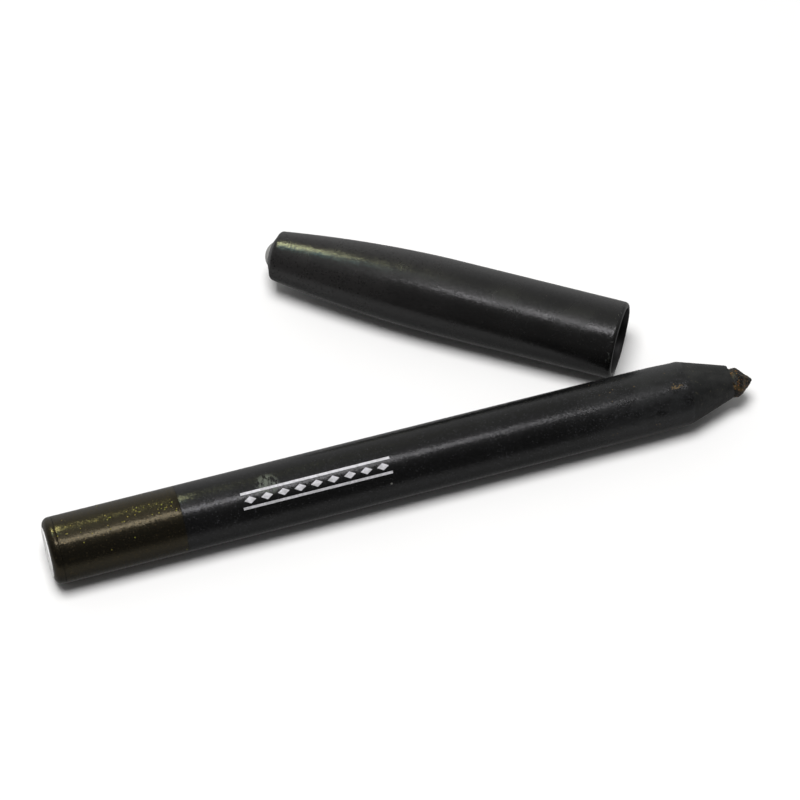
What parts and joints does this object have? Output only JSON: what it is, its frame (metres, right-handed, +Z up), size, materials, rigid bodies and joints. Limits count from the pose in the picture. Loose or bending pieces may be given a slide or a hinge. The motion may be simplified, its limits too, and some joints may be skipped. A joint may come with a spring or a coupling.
{
  "type": "cosmetic pencil with cap",
  "caption": "Round sharpened cosmetic pencil with a coloured tail section, lying in front of its tapered pull-off cap.",
  "frame": {"origin": "centre of the bottom of the bounding box of the pencil and the cap, on the surface that both lie on", "axes": "+X along the pencil from its tail to its tip, +Z up; the cap lies on the +Y side"},
  "size_m": [0.0852, 0.0392, 0.0093],
  "materials": {
    "barrel": "glossy black with fine metallic flake, scuffed at the sharpened end",
    "shade_sleeve": "dark olive with gold and green flecks",
    "tail_plug": "dark olive, rounded edge",
    "tail_label": "white sticker",
    "pigment_core": "waxy, dark olive with gold flecks",
    "cap_shell": "glossy black, worn",
    "cap_inner_seal": "grey, translucent moulding"
  },
  "bodies": {
    "pencil": {"barrel": "barrel", "shade_sleeve": "shade_sleeve", "tail_plug": "tail_plug", "tail_label": "tail_label", "pigment_core": "pigment_core"},
    "cap": {"cap_shell": "cap_shell", "cap_inner_seal": "cap_inner_seal"}
  },
  "joints": [
    {"name": "cap_slide", "type": "slide", "parent": "pencil", "child": "cap", "axis": [-0.8281, 0.5606, 0], "range_m": [0, 0.032]}
  ]
}
